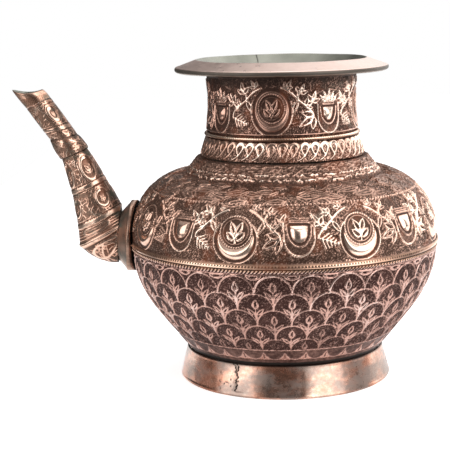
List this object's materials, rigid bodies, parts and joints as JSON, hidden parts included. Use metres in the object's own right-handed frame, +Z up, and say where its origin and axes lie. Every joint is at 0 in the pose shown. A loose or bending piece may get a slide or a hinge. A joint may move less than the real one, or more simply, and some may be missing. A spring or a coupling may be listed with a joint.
{
  "type": "water pot with spout",
  "caption": "Round-bellied copper water pot with a flared foot ring, waisted neck, wide sloping rim and long upturned spout, chased all over.",
  "frame": {"origin": "centre of the bounding box on the surface that the foot ring stands on", "axes": "+Z up along the pot's axis, the spout points towards -X, +Y away from the pictured side"},
  "size_m": [0.2498, 0.1824, 0.1874],
  "materials": {
    "foot_copper": "polished copper with grey-green and red-brown blotches",
    "solder": "dull grey solder",
    "bowl_patina": "chased copper, dark patina in the grounds, bright outlines",
    "bright_copper": "rubbed bright copper",
    "shoulder_patina": "repousse copper, dark patina in the grounds, bright high spots",
    "neck_patina": "repousse copper outside, grey tin wash inside",
    "rim_copper": "pale rubbed copper with a dark greenish rolled edge",
    "spout_copper": "plain rubbed copper",
    "spout_patina": "engraved copper, dark lines and bright plain bands"
  },
  "bodies": {
    "root": {"foot_ring": "foot_copper", "foot_solder": "solder", "lower_bowl": "bowl_patina", "belly_band": "bright_copper", "shoulder_shell": "shoulder_patina", "neck_collar": "shoulder_patina", "neck_bead": "bright_copper", "neck_sleeve": "neck_patina", "rim_flange": "rim_copper", "rim_wire": "bright_copper", "spout_plate": "spout_copper", "spout_elbow": "spout_copper", "spout_lower_tube": "spout_patina", "spout_collar": "spout_copper", "spout_upper_tube": "spout_patina", "spout_lip": "spout_copper"}
  },
  "joints": []
}
